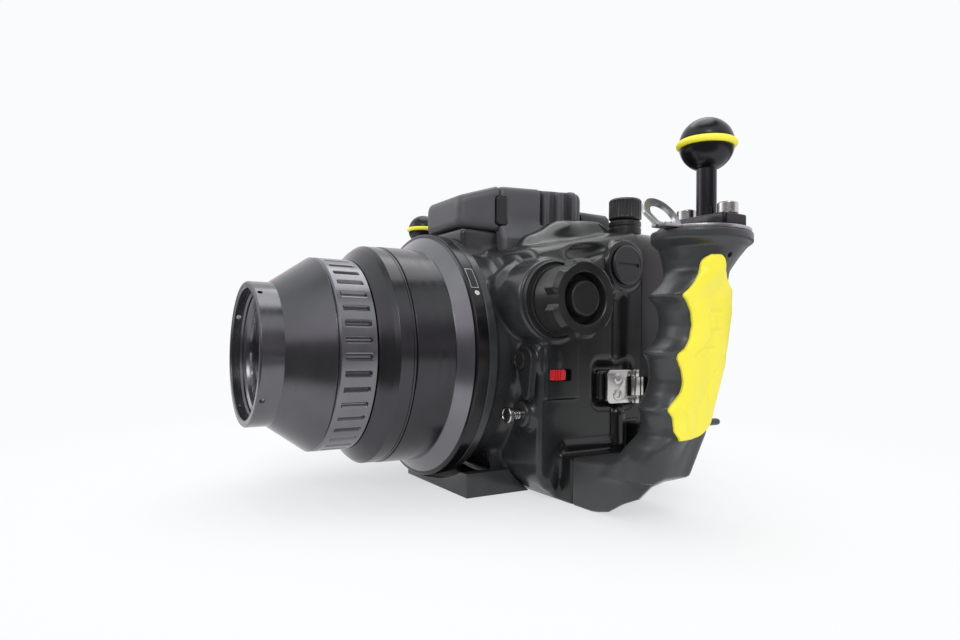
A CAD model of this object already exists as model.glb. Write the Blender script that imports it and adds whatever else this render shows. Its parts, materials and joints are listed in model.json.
"""Dressed scene of an underwater camera housing: cast shells, turned port, hand grips and their finishes.

Shapes are worked out in millimetres in the CAD model's frame and written to the meshes in metres. A shape
is (points, quads, rims): an array of points, an array of four-cornered faces, and a list of end faces.
"""

import json
import math

import bmesh
import bpy
import numpy as np
from mathutils import Matrix, Vector

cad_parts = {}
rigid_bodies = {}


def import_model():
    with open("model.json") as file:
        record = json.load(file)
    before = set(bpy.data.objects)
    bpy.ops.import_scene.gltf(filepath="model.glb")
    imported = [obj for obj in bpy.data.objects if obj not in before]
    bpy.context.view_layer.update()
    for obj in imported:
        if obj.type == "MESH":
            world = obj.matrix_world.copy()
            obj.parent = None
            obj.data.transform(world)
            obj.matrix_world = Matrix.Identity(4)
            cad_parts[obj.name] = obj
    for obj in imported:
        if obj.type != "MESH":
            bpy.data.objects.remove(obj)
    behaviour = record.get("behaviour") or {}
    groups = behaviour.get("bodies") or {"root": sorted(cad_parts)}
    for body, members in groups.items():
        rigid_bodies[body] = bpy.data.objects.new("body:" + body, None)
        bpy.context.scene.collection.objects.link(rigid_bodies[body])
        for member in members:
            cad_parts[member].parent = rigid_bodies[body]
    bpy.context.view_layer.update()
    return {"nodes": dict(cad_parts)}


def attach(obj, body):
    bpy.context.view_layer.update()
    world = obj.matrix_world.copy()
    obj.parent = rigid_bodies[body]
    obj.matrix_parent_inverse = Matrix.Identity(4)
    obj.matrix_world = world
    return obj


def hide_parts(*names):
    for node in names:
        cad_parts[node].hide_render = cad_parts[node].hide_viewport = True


for leftover in list(bpy.data.objects):
    bpy.data.objects.remove(leftover, do_unlink=True)
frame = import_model()

MM = 0.001
SIDES = ((1, "left"), (-1, "right"))

# The port: its axis, seat and length, the radii of its flange, tube, ribbed ring and nose, and its ribs.
AXIS_Z, SEAT_Y, PORT_LENGTH = 76.0, -60.0, 100.0
PORT = (0.0, SEAT_Y, AXIS_Z)
FLANGE_R, TUBE_R, RIBBED_R, NOSE_R = 71.7, 61.6, 53.0, 38.2
RIBS = 40

# The case: middle, half width, wall, front face, roof's height there and slope, base's front, and joint.
CASE_MIDDLE, CASE_HALF, WALL = -5.0, 85.0, 5.0
CASE_FRONT, ROOF_Z, ROOF_SLOPE = -27.0, 136.0, 0.2162
BASE_FRONT, JOINT_Y = -13.4, 46.9

# Controls: places of their axes, with 0 along the axis itself, and the x of each button on the back.
FOCUS = (0.0, -19.5, 106.3)
PLUG = (0.0, 33.5, 129.0)
PIN = (69.5, 0.0, 45.5)
LEVER = (72.0, 0.0, 74.5)
MODE_KNOB = (53.0, 60.0, 0.0)
TOP_DIAL = (-66.0, 4.0, 0.0)
TOP_KEY = (-66.0, 28.0, 0.0)
BACK_WHEEL = (-62.0, 0.0, 60.0)
BACK_KEYS = (-50, -30, -10, 10, 30)

# The left grip: axis of its arm, distance of each bolt from it, and the ball.
ARM = (149.5, 18.0, 0.0)
BOLTS = (-11.8, 11.8)
BALL_Z, BALL_R, STEM_R = 179.0, 12.7, 4.65

# Directions of turned pieces: two axes across and the axis along.
TOWARD = {
    "left": ((0, 1, 0), (0, 0, 1), (1, 0, 0)),
    "right": ((0, 0, 1), (0, 1, 0), (-1, 0, 0)),
    "front": ((1, 0, 0), (0, 0, 1), (0, -1, 0)),
    "back": ((0, 0, 1), (1, 0, 0), (0, 1, 0)),
    "up": ((1, 0, 0), (0, 1, 0), (0, 0, 1)),
}


# Finishes

FINISH = {}


def wire(tree, kind, inputs=None, **settings):
    """Adds a node with its settings, and feeds its inputs from values or from other nodes' outputs."""
    node = tree.nodes.new("ShaderNode" + kind)
    for key, value in settings.items():
        setattr(node, key, value)
    for key, value in (inputs or {}).items():
        if isinstance(value, bpy.types.NodeSocket):
            tree.links.new(value, node.inputs[key])
        else:
            node.inputs[key].default_value = value
    return node


def ranged(tree, value, start, stop, low=0.0, high=1.0, curve="LINEAR"):
    """Carries a value between start and stop to the range from low to high, and holds it beyond them."""
    return wire(tree, "MapRange", {"Value": value, "From Min": start, "From Max": stop, "To Min": low,
                                   "To Max": high}, interpolation_type=curve).outputs[0]


def maths(tree, operation, a, b):
    """One operation on two values."""
    return wire(tree, "Math", {0: a, 1: b}, operation=operation).outputs[0]


def vectors(tree, operation, a, inputs=None, output=0):
    """One operation on a vector and its other inputs."""
    return wire(tree, "VectorMath", {0: a, **(inputs or {})}, operation=operation).outputs[output]


def part_of(tree, vector, axis):
    """One of the three values of a vector."""
    return wire(tree, "SeparateXYZ", {"Vector": vector}).outputs[axis]


def noise(tree, place, scale, detail, rough=0.5, twist=0.0):
    """Cloudy pattern of values from 0 to 1."""
    return wire(tree, "TexNoise", {"Vector": place, "Scale": scale, "Detail": detail, "Roughness": rough,
                                   "Distortion": twist}).outputs[0]


def blank(name):
    """A new material, kept in FINISH; returns its tree, its shader and its place on the object."""
    mat = bpy.data.materials.new(name)
    FINISH[name] = mat
    mat.use_nodes = True
    tree = mat.node_tree
    tree.nodes.clear()
    shader = tree.nodes.new("ShaderNodeBsdfPrincipled")
    out = tree.nodes.new("ShaderNodeOutputMaterial")
    tree.links.new(shader.outputs[0], out.inputs[0])
    return tree, shader, wire(tree, "TexCoord").outputs["Object"]


def spread(tree, value, low, high):
    """Carries a pattern, whose values lie mostly between 0.3 and 0.7, to the range from low to high."""
    return ranged(tree, value, 0.3, 0.7, low, high)


def tint(tree, value, dark, light):
    """Carries a 0 to 1 pattern to a colour between two colours."""
    ramp = wire(tree, "ValToRGB", {"Fac": value})
    for stop, position, colour in zip(ramp.color_ramp.elements, (0.3, 0.7), (dark, light)):
        stop.position, stop.color = position, (*colour, 1)
    return ramp.outputs[0]


def feed(tree, shader, colour, gloss, height=None, strength=0.0, depth=0.0):
    """Wires a colour, a roughness and a bump of some depth in millimetres into a shader."""
    tree.links.new(colour, shader.inputs["Base Color"])
    tree.links.new(gloss, shader.inputs["Roughness"])
    if height:
        bump = wire(tree, "Bump", {"Height": height, "Strength": strength, "Distance": depth * MM})
        tree.links.new(bump.outputs[0], shader.inputs["Normal"])


def lathe_marks(tree, place, zones):
    """Marks of turning on the port: steps of grey along it, and fine and wide rings round its axis.

    A zone is (share of the port's length, grey from there on). Both sorts of ring are a noise of one value,
    the distance along the axis plus the radius.
    """
    share = ranged(tree, part_of(tree, place, 1), SEAT_Y * MM, (SEAT_Y - PORT_LENGTH) * MM)
    ramp = wire(tree, "ValToRGB", {"Fac": share})
    ramp.color_ramp.interpolation = "CONSTANT"
    stops = ramp.color_ramp.elements
    stops.remove(stops[1])
    for number, (start, grey) in enumerate(zones):
        stop = stops.new(start) if number else stops[0]
        stop.color = (grey, grey, grey, 1)
    shifted = wire(tree, "Mapping", {"Vector": place, "Location": [-c * MM for c in PORT]}).outputs[0]
    x, y, z = wire(tree, "SeparateXYZ", {"Vector": shifted}).outputs
    across = wire(tree, "CombineXYZ", {0: x, 1: z}).outputs[0]
    line = maths(tree, "ADD", y, vectors(tree, "LENGTH", across, output="Value"))
    rings, bands = (wire(tree, "TexNoise", {"W": line, "Scale": scale, "Detail": detail},
                         noise_dimensions="1D").outputs[0] for scale, detail in ((3400.0, 3.0), (300.0, 2.0)))
    return ramp.outputs[0], rings, bands


def coated(name, dark, light, rough, metal=0.0, grain=2600, depth=0.02, relief=0.35, coat=0.0, zones=None,
           fade=None):
    """Paint, anodising or moulded plastic: cloudy colour and gloss, and a fine grain.

    zones adds the port's lathe marks. fade is (start, stop, factor): the colour is factor times as bright in
    front of start, and its own behind stop.
    """
    tree, shader, place = blank(name)
    cloud = noise(tree, place, 38.0, 4.0, 0.6)
    speck = noise(tree, place, grain, 2.0)
    colour, height, gloss = tint(tree, cloud, dark, light), speck, cloud
    if fade:
        start, stop, factor = fade
        share = ranged(tree, part_of(tree, place, 1), start * MM, stop * MM, factor, 1.0)
        colour = vectors(tree, "SCALE", colour, {"Scale": share})
    if zones:
        greys, rings, bands = lathe_marks(tree, place, zones)
        colour = vectors(tree, "MULTIPLY", colour, {1: greys})
        height = maths(tree, "ADD", rings, speck)
        gloss = maths(tree, "MULTIPLY", maths(tree, "ADD", cloud, bands), 0.5)
    feed(tree, shader, colour, spread(tree, gloss, rough - 0.04, rough + 0.06), height, relief, depth)
    shader.inputs["Metallic"].default_value = metal
    shader.inputs["Coat Weight"].default_value = coat
    shader.inputs["Coat Roughness"].default_value = 0.15


def brushed(name, dark, light, rough, lay):
    """Bare metal with fine brush lines; lay is the pattern's scale along each axis, small along the lines."""
    tree, shader, place = blank(name)
    lines = noise(tree, wire(tree, "Mapping", {"Vector": place, "Scale": lay}).outputs[0], 1.0, 5.0)
    colour = tint(tree, noise(tree, place, 90.0, 3.0), dark, light)
    feed(tree, shader, colour, spread(tree, lines, rough - 0.05, rough + 0.08), lines, 0.25, 0.01)
    shader.inputs["Metallic"].default_value = 1.0


def clear(name, colour, rough, through, index):
    """Glass or clear plastic with a faint film of wiping marks in its gloss."""
    tree, shader, place = blank(name)
    film = noise(tree, place, 60.0, 5.0, twist=1.5)
    gloss = spread(tree, film, rough, rough + 0.03)
    feed(tree, shader, tint(tree, film, [c * 0.97 for c in colour], colour), gloss)
    shader.inputs["Transmission Weight"].default_value = through
    shader.inputs["IOR"].default_value = index


# Greys along the port, each from a share of its length: seat, flange, tube, barrel, ribbed ring, cone, nose.
PORT_ZONES = ((0, 0.3), (0.001, 1.5), (0.068, 0.45), (0.292, 0.5), (0.465, 1.5), (0.665, 0.9), (0.884, 1.1))


def make_finishes():
    """Every finish of the object, under the name that its pieces give as their slot."""
    coated("case_black", (0.0045, 0.0048, 0.0052), (0.0095, 0.0098, 0.0105), 0.22, grain=3200, depth=0.007,
           relief=0.25, fade=(-28, -14, 4.2))
    coated("hood_black", (0.068, 0.067, 0.074), (0.088, 0.087, 0.095), 0.40, grain=2400, depth=0.014,
           relief=0.45)
    coated("port_black", (0.118, 0.115, 0.126), (0.145, 0.141, 0.154), 0.22, metal=0.9, depth=0.003,
           zones=PORT_ZONES)
    coated("knob_black", (0.014, 0.014, 0.0145), (0.021, 0.021, 0.022), 0.36, depth=0.010)
    coated("grip_black", (0.034, 0.0355, 0.037), (0.049, 0.051, 0.053), 0.32, grain=1900, depth=0.018,
           relief=0.5)
    coated("pad_yellow", (0.93, 0.82, 0.045), (0.97, 0.87, 0.060), 0.42, grain=1500, depth=0.020)
    coated("seal_black", (0.006, 0.006, 0.006), (0.010, 0.010, 0.010), 0.55)
    coated("ring_yellow", (0.92, 0.84, 0.045), (0.96, 0.89, 0.060), 0.45)
    coated("slide_red", (0.62, 0.010, 0.018), (0.74, 0.018, 0.026), 0.30, coat=0.3)
    brushed("stainless", (0.50, 0.49, 0.47), (0.64, 0.63, 0.61), 0.20, (900, 900, 5200))
    brushed("plate_grey", (0.42, 0.42, 0.43), (0.56, 0.56, 0.57), 0.30, (400, 4200, 4200))
    clear("port_glass", (0.93, 0.96, 0.95), 0.01, 1.0, 1.5)
    clear("window_clear", (0.55, 0.57, 0.58), 0.02, 0.9, 1.49)


def finish_nodes():
    """Gives the finishes to the CAD nodes that no piece stands for, by the names of their own materials."""
    for obj in frame["nodes"].values():
        for holder in obj.material_slots:
            own = holder.material.name.split(".")[0] if holder.material else ""
            if own in FINISH:
                holder.material = FINISH[own]


# Shapes

def skin(rings, along=False, caps=True):
    """Quads between closed rings of points, rows x columns x 3; along joins the last ring to the first."""
    rows, columns = rings.shape[:2]
    i, j = np.meshgrid(np.arange(rows if along else rows - 1), np.arange(columns), indexing="ij")
    nxt, side = (i + 1) % rows, (j + 1) % columns
    quads = np.stack([i * columns + j, i * columns + side, nxt * columns + side, nxt * columns + j], -1)
    rims = []
    if caps and not along:
        rims = [np.arange(columns)[::-1], np.arange(columns) + (rows - 1) * columns]
    return rings.reshape(-1, 3), quads.reshape(-1, 4), rims


def together(*shapes):
    """One shape from several, side by side."""
    points, quads, rims, start = [], [], [], 0
    for p, q, r in shapes:
        points.append(p)
        quads.append(q + start)
        rims += [rim + start for rim in r]
        start += len(p)
    return np.concatenate(points), np.concatenate(quads), rims


def mirrored(shape, side, middle=0.0):
    """The shape itself on the left side, or mirrored in the plane x = middle with its faces still outward."""
    if side > 0:
        return shape
    points, quads, rims = shape
    points = points.copy()
    points[:, 0] = 2 * middle - points[:, 0]
    return points, quads[:, ::-1], [rim[::-1] for rim in rims]


def tilted(shape, place, axis, degrees):
    """The shape turned about an axis through a place."""
    points, quads, rims = shape
    spin = np.array(Matrix.Rotation(math.radians(degrees), 3, axis))
    return (points - place) @ spin.T + place, quads, rims


def rounded(corners, looped=False, turn=15):
    """Profile whose corners (u, v, radius) are arcs that touch both their sides.

    One more point stands just before and after each arc, so that the straight parts shade flat.
    """
    spots = [np.array(c[:2], float) for c in corners]
    out = []
    for k, spot in enumerate(spots):
        radius = corners[k][2] if len(corners[k]) > 2 else 0.0
        if radius <= 0 or (not looped and k in (0, len(spots) - 1)):
            out.append(spot[None])
            continue
        before, after = spots[k - 1] - spot, spots[(k + 1) % len(spots)] - spot
        far_b, far_a = np.hypot(*before), np.hypot(*after)
        before, after = before / far_b, after / far_a
        angle = math.acos(np.clip(before @ after, -1, 1))
        if angle > math.pi - 0.05:
            out.append(spot[None])
            continue
        touch = min(radius / math.tan(angle / 2), 0.46 * far_b, 0.46 * far_a)
        radius = touch * math.tan(angle / 2)
        middle = spot + (before + after) / np.hypot(*(before + after)) * radius / math.sin(angle / 2)
        start, stop = spot + before * touch - middle, spot + after * touch - middle
        sweep = math.pi - angle
        t = np.linspace(0, 1, max(2, math.ceil(math.degrees(sweep) / turn)) + 1)[:, None]
        arch = middle + (np.sin((1 - t) * sweep) * start + np.sin(t * sweep) * stop) / math.sin(sweep)
        ease = min(0.25 * radius + 0.05, 0.03 * min(far_a, far_b))
        out.append(np.vstack([arch[0] + before * ease, arch, arch[-1] + after * ease]))
    return np.vstack(out)


def turned(profile, place, toward, steps=160, rule=None):
    """Profile (radius, distance) turned about an axis: place + radius (cos a, sin a) + distance along.

    rule(radius, distance, a) may change the radius with the angle. A profile that starts or ends on the axis
    is closed there by a flat face, and one that stays off the axis closes on itself.
    """
    across, up, along = (np.array(v, float) for v in TOWARD[toward])
    looped = min(corner[0] for corner in profile) > 0
    line = rounded(profile, looped)
    line = line[line[:, 0] > 1e-6]
    a = round_turn(steps)
    radius, distance = line[:, :1] + 0 * a, line[:, 1:2] + 0 * a
    if rule:
        radius = rule(radius, distance, a + 0 * radius)
    spoke = np.cos(a)[None, :, None] * across + np.sin(a)[None, :, None] * up
    rings = np.array(place) + radius[..., None] * spoke + distance[..., None] * along
    return skin(rings, along=looped, caps=not looped)


def lipped(low, high, under=0.4, over=0.4):
    """Edge profile of a slab, (inset, height) from its lower to its upper face, with round lips."""
    quarter = np.linspace(0, math.pi / 2, 5)
    lower = [(under * (1 - math.sin(a)), low + under * (1 - math.cos(a))) for a in quarter]
    upper = [(over * (1 - math.cos(a)), high - over * (1 - math.sin(a))) for a in quarter]
    return [(under + 0.15, low)] + lower + upper + [(over + 0.15, high)]


def slab(corners, levels, plane="XY"):
    """Outline drawn in by an inset and raised to a height, for each (inset, height) of its edge profile."""
    edge = rounded(corners, looped=True)
    edge = edge[np.hypot(*(edge - np.roll(edge, 1, 0)).T) > 1e-5]
    turnover = np.sum(edge[:, 0] * np.roll(edge[:, 1], -1) - np.roll(edge[:, 0], -1) * edge[:, 1])
    step = np.roll(edge, -1, 0) - edge
    step /= np.hypot(*step.T)[:, None]
    normal = np.stack([step[:, 1], -step[:, 0]], -1) * np.sign(turnover)
    back = np.roll(normal, 1, 0)
    mitre = (normal + back) / (1 + np.sum(normal * back, -1, keepdims=True))
    rings = []
    for inset, height in levels:
        u, v = (edge - mitre * inset).T
        w = np.full_like(u, height)
        rings.append(np.stack({"XY": (u, v, w), "XZ": (u, w, v), "YZ": (w, u, v)}[plane], -1))
    return skin(np.array(rings))


def box_of(x0, x1, y0, y1, radius=0.0):
    """Corners of a rectangle with round corners."""
    return [(x0, y0, radius), (x1, y0, radius), (x1, y1, radius), (x0, y1, radius)]


def round_turn(count):
    """Angles of equal steps round a full turn."""
    return np.arange(count) * math.tau / count


def arc(middle, radius, angles, tall=None):
    """Points at some angles on a circle, or on an ellipse whose half height differs from its half width."""
    return [(middle[0] + radius * math.cos(t), middle[1] + (tall or radius) * math.sin(t)) for t in angles]


# Cast solids, as fields that are negative inside

def soft_union(a, b, k):
    """The lesser of two fields, blended over a width k where they meet."""
    h = np.clip(0.5 + 0.5 * (b - a) / k, 0, 1)
    return b + (a - b) * h - k * h * (1 - h)


def soft_common(a, b, k):
    """The greater of two fields, blended over a width k where they meet."""
    return -soft_union(-a, -b, k)


def soft_cut(a, b, k):
    """Field a without field b, blended over a width k."""
    return soft_common(a, -b, k)


def joined(solid, *parts):
    """The field with each part of (field, width of its blend) joined on in turn."""
    for part, blend in parts:
        solid = soft_union(solid, part, blend)
    return solid


def bar(across, along, radius, low, high, edge):
    """Distance to a round bar whose rims are rounded."""
    out = across - (radius - edge)
    end = np.abs(along - (low + high) / 2) - ((high - low) / 2 - edge)
    return np.minimum(np.maximum(out, end), 0) + np.hypot(np.maximum(out, 0), np.maximum(end, 0)) - edge


def brick(x, y, z, low, high, edge):
    """Distance to a block whose edges are rounded."""
    q = [np.abs(v - (a + b) / 2) - ((b - a) / 2 - edge) for v, a, b in zip((x, y, z), low, high)]
    far = np.sqrt(np.maximum(q[0], 0) ** 2 + np.maximum(q[1], 0) ** 2 + np.maximum(q[2], 0) ** 2)
    return far + np.minimum(np.maximum(np.maximum(q[0], q[1]), q[2]), 0) - edge


def rod(x, y, z, start, end, radius):
    """Distance to a round rod with ball ends."""
    run = np.subtract(end, start)
    p = [v - s for v, s in zip((x, y, z), start)]
    t = np.clip((p[0] * run[0] + p[1] * run[1] + p[2] * run[2]) / (run @ run), 0, 1)
    return np.sqrt(sum((q - r * t) ** 2 for q, r in zip(p, run))) - radius


# The twelve edges of a grid cell, as pairs of its corners.
EDGES = [(start, start + step) for axis, step in enumerate(np.eye(3, dtype=int))
         for start in (np.insert((first, second), axis, 0) for second in (0, 1) for first in (0, 1))]


def cast(field, xs, ys, zs):
    """Skin of the solid where a field is negative.

    Each grid cell that the skin crosses gets a point at the mean of the crossings on its edges, which then
    moves along the field's slope onto the skin. A quad joins the four cells round each crossed grid edge. The
    skin is open wherever the solid reaches past the grid.
    """
    lines = [np.asarray(v, np.float32) for v in (xs, ys, zs)]
    values = field(lines[0][:, None, None], lines[1][None, :, None], lines[2][None, None, :])
    inside = values < 0
    count = np.zeros([n - 1 for n in values.shape], np.int8)
    for i in (0, 1):
        for j in (0, 1):
            for k in (0, 1):
                count += inside[i:i - 1 or None, j:j - 1 or None, k:k - 1 or None]
    live = (count > 0) & (count < 8)
    cells = np.argwhere(live)
    number = np.full(live.shape, -1, np.int64)
    number[live] = np.arange(len(cells))
    total, hits = np.zeros((len(cells), 3)), np.zeros(len(cells))
    for a, b in EDGES:
        va, vb = values[tuple((cells + a).T)], values[tuple((cells + b).T)]
        crossed = (va < 0) != (vb < 0)
        t = np.where(crossed, va / np.where(crossed, va - vb, 1), 0)[:, None]
        total += np.where(crossed[:, None], a + t * (b - a), 0)
        hits += crossed
    local = total / hits[:, None]
    points = np.stack([line[cells[:, n]] + local[:, n] * (line[cells[:, n] + 1] - line[cells[:, n]])
                       for n, line in enumerate(lines)], -1).astype(float)
    reach = 0.15
    for _ in range(2):
        here = field(*points.T)
        slope = np.stack([(field(*(points + d).T) - field(*(points - d).T)) / (2 * reach)
                          for d in np.eye(3) * reach], -1)
        move = here[:, None] * slope / np.maximum(np.sum(slope ** 2, -1, keepdims=True), 0.2)
        points -= np.clip(move, -0.5, 0.5)
    quads = []
    for axis, (u, v) in enumerate(((1, 2), (2, 0), (0, 1))):
        low = np.moveaxis(inside, (axis, u, v), (0, 1, 2))
        cell = np.moveaxis(number, (axis, u, v), (0, 1, 2))
        change = low[:-1, 1:-1, 1:-1] != low[1:, 1:-1, 1:-1]
        i, j, k = np.nonzero(change)
        ring = np.stack([cell[i, j, k], cell[i, j + 1, k], cell[i, j + 1, k + 1], cell[i, j, k + 1]], -1)
        solid_first = low[i, j + 1, k + 1]
        quads.append(np.where(solid_first[:, None], ring, ring[:, ::-1]))
    return points, np.concatenate(quads), []


# Pieces

def to_mesh(name, shape):
    """Writes a shape into a mesh, in metres, and turns it inside out if it encloses a negative volume."""
    points, quads, rims = shape
    mesh = bpy.data.meshes.new(name)
    corners = np.concatenate([quads.ravel(), *rims]).astype(np.int32)
    sizes = np.concatenate([np.full(len(quads), 4), [len(rim) for rim in rims]]).astype(np.int32)
    mesh.vertices.add(len(points))
    mesh.vertices.foreach_set("co", (points * MM).astype(np.float32).ravel())
    mesh.loops.add(len(corners))
    mesh.loops.foreach_set("vertex_index", corners)
    mesh.polygons.add(len(sizes))
    mesh.polygons.foreach_set("loop_start", (np.cumsum(sizes) - sizes).astype(np.int32))
    mesh.update(calc_edges=True)
    mesh.validate()
    mesh.calc_loop_triangles()
    tri = np.empty(len(mesh.loop_triangles) * 3, np.int32)
    mesh.loop_triangles.foreach_get("vertices", tri)
    a, b, c = points[tri.reshape(-1, 3)].transpose(1, 0, 2)
    if np.einsum("ij,ij->", a - points[0], np.cross(b - points[0], c - points[0])) < 0:
        mesh.flip_normals()
    return mesh


def placed(name, data):
    """A new object in the scene."""
    obj = bpy.data.objects.new(name, data)
    bpy.context.collection.objects.link(obj)
    return obj


def settled(obj, degrees):
    """Keeps what a piece's modifiers make as its mesh, shaded smooth except where faces meet at an angle."""
    result = bpy.data.meshes.new_from_object(obj.evaluated_get(bpy.context.evaluated_depsgraph_get()))
    obj.modifiers.clear()
    obj.data = result
    edged(result, degrees)


def edged(mesh, degrees):
    """Smooth shading that breaks where faces meet at more than an angle."""
    mesh.shade_smooth()
    mesh.set_sharp_from_angle(angle=math.radians(degrees))


def dressed(obj, slot, body, stands_for, degrees):
    """Gives a piece its finish, its shading, its body, and the CAD nodes that it stands for."""
    obj.data.materials.clear()
    obj.data.materials.append(FINISH[slot])
    edged(obj.data, degrees)
    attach(obj, body)
    if stands_for:
        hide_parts(*stands_for)
    return obj


def piece(name, shape, slot, body="case", stands_for=(), degrees=32):
    """A finished piece from a shape."""
    return dressed(placed(name, to_mesh(name, shape)), slot, body, stands_for, degrees)


def carve(obj, shape, operation="DIFFERENCE", degrees=32):
    """Cuts a shape out of a piece, or adds it."""
    tool = placed("tool", to_mesh("tool", shape))
    step = obj.modifiers.new("step", "BOOLEAN")
    step.operation, step.solver, step.object = operation, "EXACT", tool
    settled(obj, degrees)
    bpy.data.objects.remove(tool)


def refined(node, name, slot, body, width):
    """A piece from a CAD node's own solid, with its triangles joined into faces and its edges rounded."""
    bm = bmesh.new()
    bm.from_mesh(frame["nodes"][node].data)
    bmesh.ops.remove_doubles(bm, verts=bm.verts, dist=2e-6)
    bmesh.ops.dissolve_limit(bm, angle_limit=math.radians(1.5), verts=bm.verts, edges=bm.edges)
    mesh = bpy.data.meshes.new(name)
    bm.to_mesh(mesh)
    bm.free()
    obj = placed(name, mesh)
    bevel = obj.modifiers.new("edges", "BEVEL")
    bevel.width, bevel.segments, bevel.limit_method = width * MM, 3, "ANGLE"
    bevel.angle_limit = math.radians(30)
    bevel.harden_normals = False
    settled(obj, 28)
    return dressed(obj, slot, body, [node], 28)


# The port

def ribs(radius, distance, a):
    """Rule of the ribbed ring: narrow pockets 1.7 mm deep between broad ribs, easing in at their ends."""
    wave = np.abs((a * RIBS / math.tau + 0.5) % 1 - 0.5) * 2
    floor = np.clip((0.36 - wave) / 0.28, 0, 1)
    rim = np.clip(np.minimum(distance - 49.1, 63.2 - distance) / 0.7, 0, 1)
    return radius - np.where(radius > 50, 1.7 * floor * rim, 0)


def make_flange_marks():
    """On the flange: an empty label frame, its dark face a little prouder, and a round index dot."""
    a = np.radians(np.linspace(30.5, 41.0, 34))[:, None]
    foot, near, far = FLANGE_R - 0.2, -6.0, -1.3
    for name, lift, inset, slot in (("label_frame", 0.12, 0.0, "plate_grey"),
                                    ("label_face", 0.16, 0.35, "seal_black")):
        r = np.array([foot, FLANGE_R + lift, FLANGE_R + lift, foot])
        along = np.array([near + inset, near + inset, far - inset, far - inset])
        part = a[1:-1] if inset else a
        strip = [r * np.cos(part), SEAT_Y - along + 0 * part, AXIS_Z + r * np.sin(part)]
        piece(name, skin(np.stack(strip, -1)), slot, "port")
    dot = [(0, foot), (1.5, foot), (1.5, FLANGE_R + 0.15, .1), (0, FLANGE_R + 0.15)]
    dot = turned(dot, (0, SEAT_Y + 4.1, AXIS_Z), "up", 30)
    piece("index_dot", tilted(dot, (0, 0, AXIS_Z), "Y", 62), "stainless", "port")


def make_port():
    """Turned pieces of the port, each a closed profile with machined edges."""
    flange = [(56.7, -22, .3), (56.7, -16.2, .1), (54.3, -16.2, .2), (54.3, -12.8, .2), (56.7, -12.8, .1),
              (56.7, -7, .2), (FLANGE_R, -7, .35), (FLANGE_R, -0.5, .35), (70.9, 0, .2), (69.6, 0.3, .2),
              (62.2, 7.2, 1.2), (61.9, 28.7, .2), (TUBE_R, 29.0, .1), (52, 29.2, .2), (52, 21.2, .2),
              (50, 21.2, .2), (50, -22, .3)]
    piece("flange_and_extension", turned(flange, PORT, "front", 220), "port_black", "port", ["port_flange"])
    barrel = [(61.3, 29.3, .1), (TUBE_R, 29.6, .1), (TUBE_R, 30.6, .1), (61.3, 30.75, .05),
              (61.3, 31.05, .05), (TUBE_R, 31.2, .1), (61.5, 38.0, .4), (59.6, 40.4, .6), (53.8, 45.2, .4),
              (53.1, 46, .3), (49, 46, .2), (49, 22.5, .2), (51.7, 22.5, .2), (51.7, 29.3, .1)]
    piece("barrel", turned(barrel, PORT, "front", 220), "port_black", "port", ["port_barrel"])
    cone = [(48.7, 40, .2), (48.7, 66.6, .1), (52.4, 66.6, .2), (RIBBED_R, 67.2, .2), (NOSE_R, 88.4, .12),
            (NOSE_R, 99.3, .2), (37.5, PORT_LENGTH, .2), (34.9, PORT_LENGTH, .2), (34.5, 99.4, .2),
            (34.5, 85.7, .2), (30.3, 85.7, .2), (30.3, 83, .3), (45.7, 66.6, .5), (45.7, 40, .3)]
    nose = piece("cone_and_nose", turned(cone, PORT, "front", 220), "port_black", "port", ["port_cone"])
    hole = turned([(0, 33), (1.35, 33), (1.35, 42), (0, 42)], (0, SEAT_Y - 97.2, AXIS_Z), "up", 24)
    carve(nose, together(*(tilted(hole, (0, 0, AXIS_Z), "Y", a) for a in (35, 125, 215, 305))))
    band = [(49, 46.4, .2), (52.6, 46.4, .2), (RIBBED_R, 46.8, .2), *((RIBBED_R, s) for s in (
        49.1, 49.45, 49.8, 56, 62.5, 62.85, 63.2)), (RIBBED_R, 65.2, .1), (51.9, 66.3, .1), (49, 66.3, .2)]
    piece("ribbed_ring", turned(band, PORT, "front", RIBS * 18, ribs), "port_black", "grip_ring",
          ["port_grip_ring"], 24)
    make_flange_marks()
    glass = [(0, 86), (33.3, 86, .2), (33.3, 90, .4), (0, 90)]
    piece("front_window", turned(glass, PORT, "front", 120), "port_glass", "port", ["port_glass"])
    keeper = [(34.2, 90.3, .2), (34.2, 95.2, .3), (33.2, 95.2, .2), (32.6, 94.2, .2), (32.6, 93.2, .2),
              (31.2, 92.2, .3), (30.5, 90.3, .2)]
    piece("window_keeper", turned(keeper, PORT, "front", 140), "port_black", "port", ["glass_retaining_ring"])


# The front shell

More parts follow.
